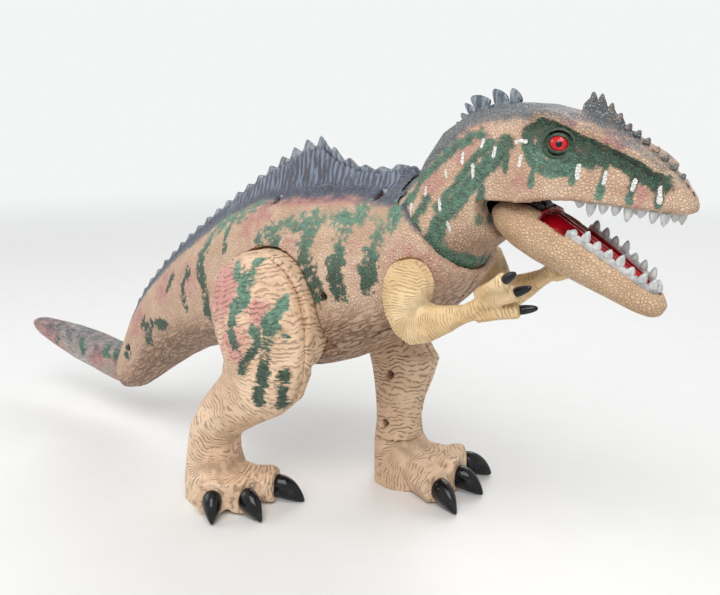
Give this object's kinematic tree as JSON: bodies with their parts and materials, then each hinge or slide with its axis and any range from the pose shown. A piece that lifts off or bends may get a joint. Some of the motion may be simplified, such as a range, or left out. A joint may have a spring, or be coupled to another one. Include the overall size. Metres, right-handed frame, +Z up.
{
  "type": "toy dinosaur figure",
  "caption": "Walking toy dinosaur: moulded body shells, nodding head, hinged jaw with teeth, swinging legs, turning arms and tail tip, and a geared drive inside.",
  "frame": {"origin": "on the floor under the middle of the figure's length, in its mirror plane", "axes": "+X towards the head, +Y towards the figure's left side, +Z up"},
  "size_m": [0.4934, 0.1484, 0.2262],
  "materials": {
    "skin": "moulded scales, tan with blue-grey back and green stripes",
    "arm_skin": "moulded scales, yellowish tan",
    "smoke": "smoke-grey, slightly translucent",
    "tooth": "clear grey",
    "red": "glossy red",
    "white": "plain moulding",
    "black": "plain moulding",
    "board": "green board",
    "wrap": "dark wrap",
    "steel": "plain",
    "brass": "plain"
  },
  "bodies": {
    "body": {"right_body_shell": "skin", "left_body_shell": "skin", "back_spines": "smoke", "body_screw_1": "steel", "body_screw_2": "steel", "body_screw_3": "steel", "body_screw_4": "steel", "neck_pin": "steel", "tail_pin": "steel", "battery_tray": "black", "battery_cell_1": "wrap", "battery_cell_2": "wrap", "battery_cell_3": "wrap", "battery_contact_front": "brass", "battery_contact_rear": "brass", "motor": "steel", "gearbox_tray": "white", "gearbox_lid": "white", "first_gear_axle": "steel", "second_gear_axle": "steel", "speaker": "black", "circuit_board": "board", "switch_body": "black"},
    "battery_cover": {"battery_door": "skin", "battery_door_screw": "steel"},
    "switch_slider": {"power_switch": "black"},
    "motor_shaft": {"motor_pinion": "brass"},
    "first_gear": {"first_gear": "white"},
    "second_gear": {"second_gear": "white"},
    "output": {"output_gear": "steel", "right_crank": "white", "left_crank": "white"},
    "head": {"right_head_shell": "skin", "left_head_shell": "skin", "neck_spines": "smoke", "right_eye": "red", "left_eye": "red", "upper_teeth": "tooth", "jaw_pin": "steel"},
    "jaw": {"lower_jaw": "skin", "lower_teeth": "tooth", "tongue": "red"},
    "right_leg": {"right_leg_outer": "skin", "right_leg_inner": "skin", "right_hip_pin": "steel", "right_leg_screw_1": "steel", "right_leg_screw_2": "steel"},
    "left_leg": {"left_leg_outer": "skin", "left_leg_inner": "skin", "left_hip_pin": "steel", "left_leg_screw_1": "steel", "left_leg_screw_2": "steel"},
    "right_arm": {"right_arm": "arm_skin"},
    "left_arm": {"left_arm": "arm_skin"},
    "tail_tip": {"tail_tip": "skin"}
  },
  "joints": [
    {"name": "right_hip", "type": "hinge", "parent": "body", "child": "right_leg", "pos_m": [0.04232, 0, 0.11], "axis": [0, 1, 0], "range_deg": [-15, 4]},
    {"name": "left_hip", "type": "hinge", "parent": "body", "child": "left_leg", "pos_m": [0.04232, 0, 0.11], "axis": [0, 1, 0], "range_deg": [-4, 15]},
    {"name": "neck_nod", "type": "hinge", "parent": "body", "child": "head", "pos_m": [0.12632, 0, 0.16], "axis": [0, 1, 0], "range_deg": [-5, 12]},
    {"name": "jaw_hinge", "type": "hinge", "parent": "head", "child": "jaw", "pos_m": [0.17636, 0, 0.172], "axis": [0, 1, 0], "range_deg": [-12, 0]},
    {"name": "right_shoulder", "type": "hinge", "parent": "body", "child": "right_arm", "pos_m": [0.13032, 0, 0.137], "axis": [0, 1, 0], "range_deg": [-35, 6]},
    {"name": "left_shoulder", "type": "hinge", "parent": "body", "child": "left_arm", "pos_m": [0.13032, 0, 0.137], "axis": [0, 1, 0], "range_deg": [-26, 15]},
    {"name": "tail_swing", "type": "hinge", "parent": "body", "child": "tail_tip", "pos_m": [-0.12618, 0, 0.041], "axis": [0, 0, 1], "range_deg": [-10, 10]},
    {"name": "output_spin", "type": "hinge", "parent": "body", "child": "output", "pos_m": [0.04232, 0, 0.127], "axis": [0, 1, 0], "continuous": true},
    {"name": "second_gear_spin", "type": "hinge", "parent": "body", "child": "second_gear", "pos_m": [0.02832, 0, 0.127], "axis": [0, 1, 0], "continuous": true},
    {"name": "first_gear_spin", "type": "hinge", "parent": "body", "child": "first_gear", "pos_m": [0.01532, 0, 0.127], "axis": [0, 1, 0], "continuous": true},
    {"name": "motor_spin", "type": "hinge", "parent": "body", "child": "motor_shaft", "pos_m": [0.00232, 0, 0.127], "axis": [0, 1, 0], "continuous": true},
    {"name": "switch_slide", "type": "slide", "parent": "body", "child": "switch_slider", "axis": [1, 0, 0], "range_m": [-0.0018, 0.0018]},
    {"name": "cover_slide", "type": "slide", "parent": "body", "child": "battery_cover", "axis": [0.454, 0, -0.891], "range_m": [0, 0.02]}
  ],
  "couplings": [
    {"joint": "left_hip", "follows": "right_hip", "ratio": -1},
    {"joint": "second_gear_spin", "follows": "output_spin", "ratio": -2.5},
    {"joint": "first_gear_spin", "follows": "output_spin", "ratio": 5.625},
    {"joint": "motor_spin", "follows": "output_spin", "ratio": -12.656}
  ]
}
